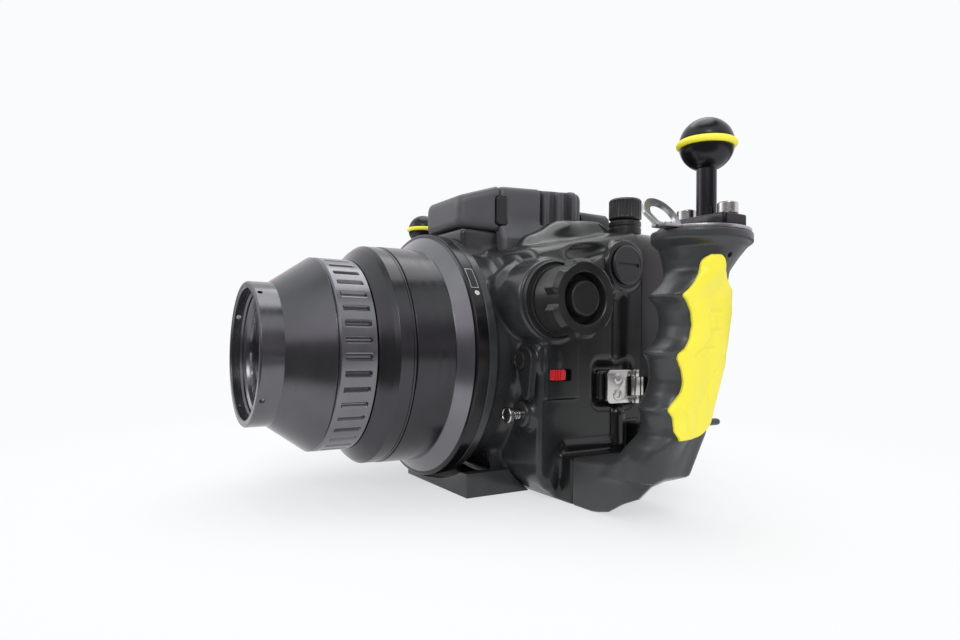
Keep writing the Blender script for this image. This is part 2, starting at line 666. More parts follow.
def case_body(x, y, z):
    """Field of the shell's body: rounded box with a sloping roof and a chin, on a base.

    The chin slopes from the front face, 12 mm up, down to the front of the base. A round neck carries the
    port, a boss on the left carries the focus knob, and a shoulder rises on each side of the hood's shelf.
    """
    top = (z - (ROOF_Z + ROOF_SLOPE * (y - CASE_FRONT))) * 0.977
    roof = soft_common(np.abs(x - CASE_MIDDLE) - CASE_HALF, top, 17)
    chin = (-(y - BASE_FRONT) * 12 - z * 13.6) / 18.1
    solid = soft_common(soft_common(roof, CASE_FRONT - y, 2.5), soft_common(chin, -z, 3), 5)
    across = np.hypot(y - FOCUS[1], z - FOCUS[2])
    solid = joined(
        solid,
        (bar(np.hypot(x, z - AXIS_Z), y, 64.6, -48, -20, 1), 9),
        (bar(across, x, 22.3, 56.5, 82.7, 1.6), 2.5),
        (bar(across, x, 24.2, 48, 61, 5), 4),
        (rod(x, y, z, (38, -25, 9), (38, -26.5, 20), 4.0), 3),
        (rod(x, y, z, (47, -19, 4.5), (48, -23.5, 11), 3.0), 3),
        (brick(x, y, z, (-91, BASE_FRONT, 0), (91, 39, 24), 1.0), 1.5),
        (brick(x, y, z, (-27, -45, 118), (27, -18, 150.4), 2.5), 5))
    for side, radius, drop in ((48, 13, 0), (-43, 10, -2)):
        rise = [(side, -8, 134.5 - drop), (side, 12, 143.0 - drop), (side, 33, 147.0 - drop)]
        for start, end in zip(rise, rise[1:]):
            solid = soft_union(solid, rod(x, y, z, start, end, radius), 6)
    return solid


def with_left_wall(solid, x, y, z):
    """The field with the left wall's groove, panel, latch recess and plate, ribs, plug boss and dent."""
    dent = np.sqrt(((x - 85) / 12) ** 2 + ((y - 5) / 19) ** 2 + ((z - 135.5 - 0.15 * y) / 9) ** 2) * 10 - 10
    solid = soft_cut(solid, rod(x, y, z, (83.6, 29.8, 78), (83.6, 29.8, 108.5), 6.6), 2.2)
    solid = soft_union(solid, brick(x, y, z, (70, -23.7, 53.6), (81.5, -1.4, 90), 0.9), 0.8)
    solid = soft_cut(solid, brick(x, y, z, (76.4, 11.5, 49.8), (90, 39, 73.4), 4.0), 4.5)
    solid = joined(
        solid,
        (brick(x, y, z, (70, 13.9, 51.5), (79.6, 35, 68.8), 2.0), 1.0),
        (rod(x, y, z, (78.9, 28.4, 28.5), (78.9, 28.4, 44), 5.2), 1.2),
        (rod(x, y, z, (78.6, -10, 28.5), (78.6, 26, 28.5), 2.6), 1.6),
        (rod(x, y, z, (77.2, -12.5, 24), (76.4, -17.5, 9.5), 4.0), 2.5),
        (brick(x, y, z, (75, 35, 18), (90.8, 44, 39), 1.0), 1.5))
    plug = bar(np.hypot(y - PLUG[1], z - PLUG[2]), x, 14.5, 40, 81.4, 1)
    return soft_union(soft_cut(solid, dent, 1.0), plug, 1.6)


def case_field(x, y, z):
    """Field of the cast front shell: body, left wall, bosses of the controls, and the right wall's relief."""
    solid = joined(
        with_left_wall(case_body(x, y, z), x, y, z),
        (bar(np.hypot(x - PIN[0], z - PIN[2]), y, 7, -32.3, -15, 1), 4),
        (bar(np.hypot(x - LEVER[0], z - LEVER[2]), y, 8.5, -29.4, -15, .8), 3),
        (bar(np.hypot(x - TOP_DIAL[0], y - TOP_DIAL[1]), z, 9.5, 120, 145, 1), 3),
        (bar(np.hypot(x - TOP_KEY[0], y - TOP_KEY[1]), z, 6.5, 120, 149.2, 1), 2),
        (brick(x, y, z, (-90.6, 15, 48), (-80, 36, 71), 1), 3))
    solid = soft_cut(solid, brick(x, y, z, (-98, 6, 80), (-87.6, 36, 122), 2), 3)
    return np.maximum(solid, -z)


def hollow():
    """The hollow of the front shell: rounded rectangles, from behind the port out past the joint."""
    left, right = CASE_MIDDLE - CASE_HALF + WALL, CASE_MIDDLE + CASE_HALF - WALL
    rings = []
    for y, low, high in ((-18, 12, 131), (-12, 8, 132.2), (41, 8, 144.7), (52, 8, 144.7)):
        edge = rounded(box_of(left, right, low, high, 9), True, 12)
        rings.append(np.stack([edge[:, 0], np.full(len(edge), float(y)), edge[:, 1]], -1))
    return skin(np.array(rings))


def make_front_shell():
    """The cast front shell, cut off at its joint, hollowed, and bored for the port and the controls.

    The grid ends at 158 mm, 1 to 2 mm below the tops of the shoulders, so the skin is open there.
    """
    xs = np.concatenate([np.arange(-95, -86, 1.2), np.arange(-86, 50, 2.4), np.arange(50, 84, 0.95),
                         np.arange(84, 95, 1.6)])
    ys, zs = np.arange(-50, 52.5, 1.0), np.arange(-3, 158.5, 1.0)
    shell = piece("front_shell", cast(case_field, xs, ys, zs), "case_black", "case", ["front_case"], 50)
    bores = [turned([(0, -14), (r, -14), (r, 30), (0, 30)], at, toward, 40) for at, toward, r in (
        ((73, PLUG[1], PLUG[2]), "left", 7.35), ((PIN[0], -20, PIN[2]), "front", 2.85),
        ((LEVER[0], -20, LEVER[2]), "front", 2.85), ((-83, -8, 104), "right", 3.85),
        ((TOP_DIAL[0], TOP_DIAL[1], 135.7), "up", 3.35), ((TOP_KEY[0], TOP_KEY[1], 140.9), "up", 2.25))]
    focus_bore = [(0, 36), (10.5, 36), (10.5, 47), (4.35, 47), (4.35, 100), (0, 100)]
    bores.append(turned(focus_bore, FOCUS, "left", 40))
    bores.append(slab(box_of(-21.3, -6.7, 63.4, 70.0, 1.2), [(0, 77.8), (0, 90)], "YZ"))
    beyond_joint = slab(box_of(-99, 99, -9, 199), [(0, JOINT_Y), (0, 70)], "XZ")
    port_bore = turned([(0, 12), (57.1, 12), (57.1, -50), (0, -50)], PORT, "front", 160)
    for tool in (beyond_joint, hollow(), port_bore, together(*bores)):
        carve(shell, tool, degrees=50)
    seat = [(57.2, -7.3, .3), (70.6, -7.3, .2), (71.2, -7.9, .4), (71.2, -12.3, .5), (65.0, -17.5, 2),
            (64.8, -26, 1), (57.2, -26, .3)]
    piece("port_seat_ring", turned(seat, PORT, "front", 220), "case_black")


# Controls

def make_focus_knob():
    """Focus control: stepped base ring, drum, rim with six scallops, face ring and cap."""
    base = [(4.4, 83.2, .2), (21.1, 83.2, .3), (21.1, 84.8, .3), (20.6, 85.4, .2), (20.0, 85.4, .2),
            (19.6, 84.3, .2), (18.4, 84.3, .2), (18.2, 87.2, .2), (4.4, 87.2, .2)]
    piece("focus_base_ring", turned(base, FOCUS, "left", 140), "knob_black", "case", ["focus_knob_base"])
    drum_r, scallops = 17.7, 6

    def lobes(radius, distance, a):
        angle = (np.degrees(a) - 33 + 30) % 60 - 30
        share = np.clip((np.abs(angle) - 13.5) / 9.0, 0, 1)
        share = share * share * (3 - 2 * share)
        return np.where(radius > drum_r, drum_r + (radius - drum_r) * (1 - share), radius)

    knob = [(4.35, 88, .2), (17.6, 88, .4), (17.6, 98.3, .1), (drum_r, 98.5, .1), (20.0, 98.9, .4),
            (20.3, 99.4, .3), (20.3, 105.6, .4), (18.6, 107.6, .3), (18.1, 107.9, .2), (13.9, 107.9, .3),
            (13.3, 107.3, .2), (13.0, 100, .4), (11, 100, .2), (4.35, 100, .2)]
    piece("focus_grip", turned(knob, FOCUS, "left", scallops * 48, lobes), "knob_black", "focus",
          ["focus_knob"], 28)
    cap = [(0, 100.2), (9.0, 100.2, .2), (9.0, 107.2, .3), (8.6, 107.7, .2), (8.2, 107.75, .15),
           (7.9, 107.55, .15), (7.4, 107.5, .2), (0, 107.5)]
    piece("focus_cap", turned(cap, FOCUS, "left", 90), "knob_black", "focus", ["focus_knob_cap"])


def knurl(count, depth, above, low, high):
    """Rule of a knurled rim: ridges round what lies above a radius, between two heights."""

    def rule(radius, distance, a):
        wave = 0.5 + 0.5 * np.cos(a * count)
        band = np.clip(np.minimum(distance - low, high - distance) / 0.4, 0, 1)
        return radius - np.where(radius > above, depth * (1 - np.sqrt(wave)) * band, 0)

    return rule


def make_dials():
    """Turned controls with knurled rims: mode knob and gland, main dial, and the wheel on the back."""
    gland = [(3.35, 152.3, .2), (10, 152.3, .3), (10, 156.2, .3), (9.6, 156.6, .2), (9.6, 157.4, .2),
             (10, 157.8, .3), (10, 160.3, .5), (9, 161.3, .5), (3.35, 161.3, .2)]
    piece("mode_gland", turned(gland, MODE_KNOB, "up", 80), "knob_black", "back", ["mode_knob_gland"])
    knob = [(0, 140), (4.5, 140, .2), (4.5, 143, .2), (3, 143, .2), (3, 161.8, .2), (9.4, 161.8, .3),
            (10.2, 162.6, .3), (10.2, 163.2), (10.2, 164), (10.2, 173), (10.2, 173.8, .4), (9.2, 175, .5),
            (0, 175)]
    knob = turned(knob, MODE_KNOB, "up", 24 * 10, knurl(24, 0.5, 9.9, 163.0, 173.6))
    piece("mode_grip", knob, "knob_black", "mode", ["mode_knob"], 26)
    dial = [(0, 126), (5, 126, .2), (5, 129, .2), (3, 129, .2), (3, 145.3, .2), (8.2, 145.3, .3),
            (9, 146.1, .3), (9, 147), (9, 151.6), (9, 152.3, .3), (8.2, 153.1, .4), (0, 153.1)]
    dial = turned(dial, TOP_DIAL, "up", 24 * 10, knurl(24, 0.5, 8.7, 146.6, 152.0))
    piece("top_dial", dial, "knob_black", "dial", ["main_dial"], 26)
    wheel = [(0, 59), (8, 59, .3), (8, 62, .3), (3, 62, .2), (3, 71.5, .2), (20.2, 71.5, .5), (21, 72.3, .4),
             (21, 73), (21, 77.5), (21, 78.2, .3), (19.5, 80, .6), (13, 80, .6), (12, 78.5, .4), (0, 78.5)]
    wheel = turned(wheel, BACK_WHEEL, "back", 36 * 8, knurl(36, 0.5, 20.7, 72.6, 77.8))
    piece("back_wheel", wheel, "knob_black", "wheel", ["quick_dial"], 26)


def key_profile(foot, under, top, lip):
    """Profile of a push button: a foot inside the wall, a thin stem, and a dished cap."""
    return [(0, foot), (3.3, foot, .2), (3.3, foot + 2.7, .2), (1.9, foot + 2.7, .1), (1.9, under, .1),
            (4.7, under, .2), (5, under + 0.4, .2), (5, top - 0.6, .5), (lip, top, .3), (3.2, top - 0.2, .3),
            (0.3, top - 0.5)]


def make_buttons():
    """Push buttons on the back and on top, and the release pin by the port with its spring."""
    for number, x in enumerate(BACK_KEYS, 1):
        key = turned(key_profile(63, 73.3, 76.8, 4.1), (x, 0, 30), "back", 48)
        piece(f"back_key_{number}", key, "knob_black", f"key_{number}", [f"rear_button_{number}"])
    key = turned(key_profile(137.6, 152.3, 155.3, 4.2), TOP_KEY, "up", 48)
    piece("top_key", key, "knob_black", "top_key", ["top_button"])
    coils = [corner for s in (33.6, 35.2) for corner in (
        (2.1, s, .1), (2.1, s + 0.6, .1), (2.5, s + 0.8, .1), (2.5, s + 1.4, .1))]
    pin = [(0, 13), (4, 13, .2), (4, 16.6, .2), (2.5, 16.6, .1), (2.5, 33.4, .1), *coils, (2.1, 36.8, .1),
           (2.1, 38.2, .1), (4.3, 38.2, .2), (4.5, 38.6, .2), (4.5, 40.6, .25), (4.1, 41, .2), (3.4, 41, .1),
           (3.2, 40.7, .1), (0, 40.7)]
    piece("release_pin", turned(pin, PIN, "front", 60), "stainless", "release", ["lens_release_button"])


def link(near, near_r, far, far_r):
    """Outline of a lever blade: two round ends joined by their common tangents, anticlockwise."""
    dx, dy = far[0] - near[0], far[1] - near[1]
    axis, lean = math.atan2(dy, dx), math.acos((near_r - far_r) / math.hypot(dx, dy))
    return (arc(far, far_r, np.linspace(axis - lean, axis + lean, 22))
            + arc(near, near_r, np.linspace(axis + lean, axis + math.tau - lean, 22)))


def make_levers():
    """The lever by the port, the red slide, and the shutter lever on the right."""
    blade = slab(link((74.5, 75.0), 7.35, (77.0, 56.5), 2.6), lipped(-34, -30, .7, .3), "XZ")
    lever = piece("port_lever", blade, "knob_black", "lever", ["side_lever"])
    hub = [(0, 13), (2.5, 13, .2), (2.5, 33, .1), (5, 33, .1), (5, 35.1, .4), (3.4, 35.5, .2),
           (3.1, 35.1, .2), (0, 35.1)]
    carve(lever, turned(hub, LEVER, "front", 48), "UNION")
    slide = slab(box_of(-21, -10, 63.7, 69.7, 1.4), lipped(78.3, 81, .1, .45), "YZ")
    red = piece("red_slide", slide, "slide_red", "slide", ["lock_slide"])
    carve(red, together(*(slab(box_of(y - .35, y + .35, 60, 75), [(0, 80.5), (0, 83)], "YZ")
                          for y in (-17.2, -15.5, -13.8))))
    refined("shutter_lever", "trigger_lever", "knob_black", "trigger", 0.7)


def make_latches():
    """Latch on each side, a base with two screws and a sprung lever, and the slotted plug above the left."""
    face = 82.5
    for side, name in SIDES:
        refined("latch_base_" + name, "latch_plate_" + name, "stainless", "case", 0.35)
        head = [(0, face - 1), (3.2, face - 1, .1), (3.2, face + .35, .3), (1.7, face + .55, .2),
                (1.5, face - .2, .1), (0, face - .2)]
        screws = together(*(turned(head, (0, 26.2, z), "left", 36) for z in (54.9, 64.1)))
        piece("latch_screws_" + name, mirrored(screws, side, CASE_MIDDLE), "stainless")
        arm = refined("latch_lever_" + name, "latch_arm_" + name, "stainless",
                      "latch_l" if side > 0 else "latch_r", 0.3)
        gaps = together(*(slab(box_of(low, high, 53.2, 66.4, 1.0), [(0, 74), (0, 96)], "YZ")
                          for low, high in ((39.9, 42.3), (44.6, 51.0))))
        carve(arm, mirrored(gaps, side, CASE_MIDDLE))
    plug = [(0, 70), (7, 70, .2), (7, 81.8, .1), (11.3, 81.8, .3), (11.3, 82.9, .5), (10.4, 83.5, .4),
            (9.4, 83.55, .1), (9.2, 83.3, .1), (0, 83.3)]
    stopper = piece("socket_plug", turned(plug, PLUG, "left", 90), "knob_black", "case", ["bulkhead_plug"])
    carve(stopper, slab(box_of(25.4, 41.6, 128.1, 129.9, .4), [(0, 82.3), (0, 90)], "YZ"))


# The hood

def without_plug_slots(solid, side, y, z):
    """The hood's field less the slots for the plugs in the sides of its joint."""
    return soft_cut(solid, brick(side, y, z, (26, -23.3, 153.7), (36, -15.7, 171.3), 2.0), 0.3)


def hood_field(x, y, z):
    """Field of the flash hood: a sloping crown, a waist with two round pillars a side, and a flared skirt."""
    side = np.abs(x)
    crown = z - (178 + 0.067 * (y + 20.7))
    flare = np.clip((161 + 0.05 * y - z) / 14, 0, 1) ** 2
    half = 31 - 4 * np.clip((y - 38) / 4, 0, 1) + (7.2 - 3 * np.clip((4 - y) / 8, 0, 1)) * flare
    solid = soft_common(side - half, crown, 5)
    solid = soft_common(solid, soft_common(y - 46.5, -20.4 - y, 0.5), 4)
    solid = soft_cut(solid, brick(side, y, z, (25, 9.0, 156.5), (45, 34.8, 195), 0.8), 0.5)
    for middle, radius in ((15.4, 2.5), (26.8, 3.3)):
        pillar = soft_common(np.hypot(side - 30.6 + radius, y - middle) - radius, crown + 1.2, 1.5)
        solid = soft_union(solid, np.maximum(pillar, 150 - z), 0.6)
    solid = soft_common(solid, ROOF_Z + 0.3 + ROOF_SLOPE * (y - CASE_FRONT) - z, 0.4)
    solid = soft_cut(solid, brick(x, y, z, (-22, -10, 120), (22, 40, 173), 2), 0.3)
    return without_plug_slots(solid, side, y, z)


def cover_field(x, y, z):
    """Field of the hood's front cover: a block that narrows to its front, with soft edges."""
    side = np.abs(x)
    share = (-21 - y) / 23
    solid = soft_common((side - 30.4 + 9.4 * share) * 0.93, (z - 178 + 7 * share) * 0.95, 4.5)
    solid = soft_common(solid, 150.6 + 1.6 * share - z, 4)
    solid = soft_common(soft_common(solid, y + 21, 0.6), -44.0 - y, 4)
    return without_plug_slots(solid, side, y, z)


def make_hood():
    """The flash hood and its cover, with round-cornered plugs in the sides of their joint."""
    xs, zs = np.arange(-41, 42, 1.0), np.arange(133.5, 186, 0.9)
    for name, field, ys, node in (("hood_shell", hood_field, np.arange(-23, 49, 0.8), "flash_hood"),
                                  ("hood_cover", cover_field, np.arange(-47, -18, 0.8), "hood_front_cover")):
        piece(name, cast(field, xs, ys, zs), "hood_black", "case", [node], 40)
    plug = slab(box_of(-23, -16, 154, 171, 2), lipped(26.3, 31.5, .1, .6), "YZ")
    for side, name in SIDES:
        piece("cover_plug_" + name, mirrored(plug, side), "knob_black", "case", ["hood_plug_" + name])


# Grips

# Sections of the left grip from its rim down: height, outer x, inner x, front y, back y and squareness. The
# front runs in circular arcs between finger ridges at 106, 80.4 and 54.8 mm.
GRIP = np.array([
    (136.0, 171.0, 128.0, -10.5, 39.8, 2.0), (131.8, 171.0, 128.0, -10.3, 39.6, 2.0),
    (131.0, 170.4, 128.2, -9.0, 38.4, 2.0), (129.0, 169.8, 128.5, -3.0, 33.6, 2.0),
    (124.0, 167.0, 129.0, -0.9, 29.3, 2.0), (118.0, 162.5, 130.0, -0.3, 26.6, 2.2),
    (112.0, 159.5, 130.0, -4.9, 29.8, 2.4), (109.0, 158.0, 129.5, -8.6, 31.8, 2.4),
    (106.0, 157.0, 129.0, -13.2, 33.4, 2.4), (104.7, 156.8, 128.8, -10.0, 33.4, 2.4),
    (102.5, 156.6, 128.6, -6.8, 33.3, 2.4), (99.0, 156.3, 128.4, -3.7, 33.1, 2.4),
    (93.0, 156.0, 128.0, -2.1, 31.9, 2.4), (87.0, 155.2, 127.2, -3.7, 32.1, 2.4),
    (83.5, 154.8, 126.8, -7.0, 32.5, 2.4), (81.6, 154.6, 126.6, -10.2, 32.6, 2.4),
    (80.4, 154.5, 126.5, -14.4, 32.7, 2.4), (79.2, 154.3, 126.3, -12.0, 32.6, 2.4),
    (77.2, 154.1, 126.1, -9.9, 32.5, 2.4), (73.5, 153.7, 125.7, -7.4, 31.7, 2.4),
    (67.6, 153.0, 125.0, -6.0, 30.0, 2.4), (61.5, 152.3, 124.3, -7.2, 28.5, 2.4),
    (58.0, 151.9, 123.9, -9.3, 27.9, 2.4), (56.0, 151.7, 123.7, -11.0, 27.7, 2.4),
    (54.8, 151.5, 123.5, -13.3, 27.5, 2.4), (53.4, 151.2, 123.2, -11.3, 27.2, 2.4),
    (51.0, 150.9, 122.9, -9.2, 26.5, 2.4), (47.0, 150.3, 122.3, -7.3, 25.3, 2.4),
    (42.0, 149.5, 121.5, -7.4, 22.8, 2.6), (36.0, 148.3, 120.0, -11.5, 19.5, 2.8),
    (30.0, 147.0, 118.0, -13.0, 16.5, 3.2), (20.0, 144.5, 113.0, -13.2, 12.0, 3.6),
    (0.0, 142.0, 105.0, -13.4, 8.0, 4.0)])[::-1]
RIM_Z, GRIP_TOP = 128, 136
BELL = np.hanning(9)[1:-1] / np.hanning(9).sum()


def softened(line):
    """A row of values, each averaged with its neighbours under a bell."""
    return np.convolve(np.pad(line, 3, "edge"), BELL, "valid")


def grip_section(z):
    """Outer, inner, front and back reach, squareness and lean of the grip at a height, on smooth curves."""
    fine = np.arange(0, GRIP_TOP + 1, 0.5)
    lines = [np.interp(fine, GRIP[:, 0], column) for column in GRIP.T[1:]]
    return ([np.interp(z, fine, np.where(fine > RIM_Z, line, softened(line))) for line in lines]
            + [np.interp(z, (30, 40, 116, RIM_Z), (0, 5.0, 5.0, 0))])


def foot_field(x, y, z):
    """Field of the grip's foot, and the height of its arched underside, which follows the line of sight.

    The foot has a flat front, a slanted facet outward of it, a top that climbs outward and a tapering back.
    """
    sight = x + 0.93 * y
    stops = (94.5, 105.5, 114.5, 124.7, 133, 141.6, 156.6, 170)
    arch = np.interp(sight, stops, (0, 2.6, 8.2, 10.8, 17.2, 20.4, 22.4, 23)) - 0.34 * (
        np.interp(sight, stops, (107, 118, 127, 131.6, 135.1, 139.1, 145.8, 150)) - x)
    top = np.interp(x, (88, 97, 110, 121.6, 128, 134, 137.5, 139.7, 142, 200),
                    (24, 24.6, 26, 27.7, 29.2, 31.8, 34.5, 38.2, 44, 44))
    facet = (x - 127) * 0.8 - (y - BASE_FRONT) * 0.6
    behind = 0.3 * np.maximum(x - 121, 0) + 0.38 * np.maximum(44 - z, 0) * np.clip((x - 125) / 20, 0, 1)
    foot = soft_common(soft_common(BASE_FRONT - y, facet, 0.8), y - 27.6 + behind, 3)
    foot = np.maximum(soft_common(foot, z - top, 2), 91.3 - x)
    return soft_common(foot, x - (146.2 + 0.12 * (z - 20)), 2), arch


def grip_field(x, y, z):
    """Field of a hand grip: superellipse sections on a foot, with a small peg low on its back.

    The front half of each section leans outward, in proportion to its reach.
    """
    outer, inner, front, back, square, lean = grip_section(z)
    cx, cy = (outer + inner) / 2, (front + back) / 2
    hx, hy = (outer - inner) / 2, (back - front) / 2
    across = np.abs(x - lean * np.clip((cy - y) / hy, 0, 1) - cx) / hx
    ratio = (across ** square + (np.abs(y - cy) / hy) ** square) ** (1 / square)
    grip = (ratio - 1) * np.minimum(hx, hy) * 0.9
    grip = soft_common(np.maximum(grip, 20 - z), z - GRIP_TOP, 0.8)
    foot, arch = foot_field(x, y, z)
    solid = joined(grip, (foot, 4), (rod(x, y, z, (143, 22, 46.5), (143, 34, 46.5), 1.7), 0.5))
    return soft_common(soft_common(solid, arch - z, 1.5), -z, 0.6)


# Outline of the pad from its top down: height, and degrees that it reaches forward and aft of the side.
PAD = np.array([
    (124.4, 40, -30), (123.4, 50, -22), (122, 55, -16), (120, 58, -8), (117, 58, 4), (114, 54, 12),
    (111.5, 51, 24), (109.5, 48, 44), (107, 47, 56), (105, 48, 58), (102, 52, 60), (96, 53, 63), (90, 52, 65),
    (87, 50, 66), (84, 47, 68), (81, 42, 70), (79.5, 46, 70), (78, 53, 71), (75, 53, 72), (72, 51, 73),
    (66, 48, 74), (63, 48, 74), (60, 53, 75), (57, 57, 75), (54, 53, 74), (51, 51, 66), (48, 53, 48),
    (45, 51, 28), (42, 37, 10), (40.6, 28, -6)], float)[::-1]
PAD_LOW, PAD_HIGH = 40.6, 124.4
SKIN_MM = 0.28
ZIGZAGS = (((72.5, 12), (64, 2)), ((64, 2), (58, 14)), ((97, -14), (88, -4)), ((88, -4), (79, -16)))


def pad_grooves(z, degrees):
    """Depth of the pad's grooves: zigzags between (height, degrees), three short slots and an oval line.

    A degree round the grip is SKIN_MM of its skin.
    """
    depth = np.zeros(np.broadcast(z, degrees).shape)
    for (z0, a0), (z1, a1) in ZIGZAGS:
        run = np.array([z1 - z0, (a1 - a0) * SKIN_MM])
        q = np.clip(((z - z0) * run[0] + (degrees - a0) * SKIN_MM * run[1]) / (run @ run), 0, 1)
        far = np.hypot(z - z0 - run[0] * q, (degrees - a0) * SKIN_MM - run[1] * q)
        depth = np.maximum(depth, np.clip(1 - far / 1.1, 0, 1) * 0.7)
    for slot in (99.5, 91.0, 82.5):
        far = np.hypot(np.maximum(np.abs(degrees + 1) * SKIN_MM - 2.0, 0), z - slot)
        depth = np.maximum(depth, np.clip(1.3 - far, 0, 1) * 0.8)
    turn = degrees + 12
    oval = np.hypot(np.maximum(np.abs(z - 51.5 + turn * 0.05) - 4.5, 0), turn * SKIN_MM) - 3.0
    return np.maximum(depth, np.clip(1 - np.abs(oval) / 0.5, 0, 1) * 0.4)


def pad_shape():
    """The pad: a strip on the grip's skin, raised by its thickness less its grooves, closed at its edges."""
    z = np.linspace(PAD_HIGH, PAD_LOW, 210)[:, None]
    forward, aft = (softened(np.interp(z, PAD[:, 0], reach)[:, 0])[:, None] for reach in PAD.T[1:])
    t = np.linspace(0, 1, 64)[None, :]
    angle = np.radians(-forward + (forward + aft) * t)
    outer, inner, front, back, square, lean = (np.asarray(v) for v in grip_section(z))
    c, s = np.cos(angle), np.sin(angle)
    edge = np.minimum(t, 1 - t) * (forward + aft) * SKIN_MM
    lip = np.clip(np.minimum(edge, np.minimum(PAD_HIGH - z, z - PAD_LOW)) / 1.3, 0, 1)
    lift = 0.5 + 1.8 * np.sqrt(1 - (1 - lip) ** 2)
    lift = lift - pad_grooves(z, np.degrees(angle)) * np.clip(lip * 2 - 1, 0, 1)
    faces = []
    for raised in (lift, np.full_like(lift, -1.2)):
        middle = (front + back) / 2
        hx, hy = (outer - inner) / 2, np.where(s > 0, back - middle, middle - front)
        u = np.sign(c) * np.abs(c) ** (2 / square) * (hx + raised)
        v = np.sign(s) * np.abs(s) ** (2 / square) * (hy + raised)
        u = u + lean * np.clip(-v / hy, 0, 1)
        faces.append(np.stack([(outer + inner) / 2 + u, middle + v, z + 0 * u], -1))
    return skin(np.concatenate([faces[0], faces[1][:, ::-1]], 1))


def make_grips():
    """Both hand grips: cast handle with finger ridges and a faceted foot, and the pad on its outer side."""
    xs, ys, zs = np.arange(88, 178, 0.95), np.arange(-17, 51, 0.95), np.arange(-2, 139, 0.95)
    handle = cast(grip_field, xs, ys, zs)
    pad = pad_shape()
    bolt = [(0, 122), (3.35, 122), (3.35, 140), (0, 140)]
    holes = together(*(turned(bolt, (ARM[0] + r, ARM[1], 0), "up", 24) for r in BOLTS),
                     turned([(0, 163), (1.2, 163), (1.2, 180), (0, 180)], (0, 12, 124.4), "left", 20))
    for side, name in SIDES:
        grip = piece("grip_" + name, mirrored(handle, side), "grip_black", "case", ["handle_" + name], 40)
        carve(grip, mirrored(holes, side), degrees=40)
        piece("pad_" + name, mirrored(pad, side), "pad_yellow", "case", ["grip_pad_" + name], 40)


def make_strap_plate(side, name):
    """Oval plate under the arm base, with a tongue in front that ends in a tilted loop."""
    rim = lipped(136.3, 138.0, .3, .3)
    oval = slab(arc((ARM[0], 16.3), 20.3, round_turn(96), 22.5), rim)
    plate = piece("oval_plate_" + name, mirrored(oval, side), "plate_grey", "case", ["strap_plate_" + name])
    carve(plate, mirrored(slab(box_of(147.5, 155.5, -17.3, -2, 1.6), rim), side), "UNION")
    turn = np.radians(np.linspace(60, 264, 46))
    loop = slab(arc((0, 0), 10.6, turn) + [(5.5, -6.8)], lipped(-0.9, 0.9, .3, .3))
    hole = slab(arc((0, 0), 7.1, turn) + [(3.7, -4.4)], [(0, -3), (0, 3)])
    place = (ARM[0], -12.1, 141.2)
    tab, gap = (tilted((s[0] + place, s[1], s[2]), place, "Y", 58.6) for s in (loop, hole))
    carve(plate, mirrored(tab, side), "UNION")
    carve(plate, mirrored(gap, side))


def make_arm_bases():
    """On each grip: strap plate, chamfered block with stem and ball, the ball's ring, and two bolts."""
    t = np.linspace(math.asin(STEM_R / BALL_R), math.pi - 0.06, 44)
    round_part = [(BALL_R * math.sin(v), BALL_Z - BALL_R * math.cos(v)) for v in t]
    ball = [(0, 142), (STEM_R, 142), (STEM_R, 144.0, .4), (STEM_R, 166.4)] + [
        (r if abs(h - BALL_Z) > 1.9 else 11.9, h) for r, h in round_part] + [(0, BALL_Z + BALL_R)]
    block = slab(box_of(ARM[0] - 16.5, ARM[0] + 16.5, 10, 26, 1.6), lipped(138.3, 144.0, .3, .9))
    band = turned(arc((12.4, BALL_Z), 1.65, round_turn(24)), ARM, "up", 120)
    head = [(0, 124), (3, 124, .2), (3, 144.3, .1), (4.6, 144.3, .2), (4.6, 149.0, .4), (4.2, 149.4, .2),
            (2.6, 149.4, .2), (2.3, 149.1, .1), (2.3, 146.6, .1), (0, 146.6)]
    for side, name in SIDES:
        make_strap_plate(side, name)
        mount = piece("arm_block_" + name, mirrored(block, side), "port_black", "case",
                      ["ball_mount_" + name])
        carve(mount, mirrored(turned(ball, ARM, "up", 120), side), "UNION", 40)
        piece("yellow_ring_" + name, mirrored(band, side), "ring_yellow", "case", ["ball_ring_" + name])
        for number, r in enumerate(BOLTS, 1):
            bolt = turned(head, (ARM[0] + r, ARM[1], 0), "up", 60, knurl(30, 0.25, 4.4, 144.8, 148.8))
            piece(f"socket_bolt_{name}_{number}", mirrored(bolt, side), "stainless", "case",
                  [f"arm_bolt_{name}_{number}"])


def make_shell_parts():
    """The rear shell, the foot under the port, the eyepiece and the window, with rounded edges."""
    refined("rear_case", "rear_shell", "case_black", "back", 0.8)
    refined("foot_bracket", "port_foot", "case_black", "case", 0.6)
    refined("rear_window", "back_window", "window_clear", "back", 0.3)
    eye = [(11, 64, .3), (14, 64, .3), (14, 75.3, .2), (20, 75.3, .5), (20, 80, .6), (18.5, 81.5, .6),
           (13.2, 81.5, .5), (13, 78, .3), (11, 78, .3)]
    piece("eyepiece_ring", turned(eye, (0, 0, 140), "back", 90), "knob_black", "back", ["eyepiece"])


# Studio

WHITE = (0.955, 0.965, 0.975, 1)
CAMERA_SIDE = (0.62, -0.78, 0.0)


def smoothed(tree, value, start, stop, low=0.0, high=1.0):
    """Carries a value to a range, easing in and out."""
    return ranged(tree, value, start, stop, low, high, "SMOOTHSTEP")


def facing(tree, way, direction):
    """How far a vector points in a direction."""
    return vectors(tree, "DOT_PRODUCT", way, {1: direction}, "Value")


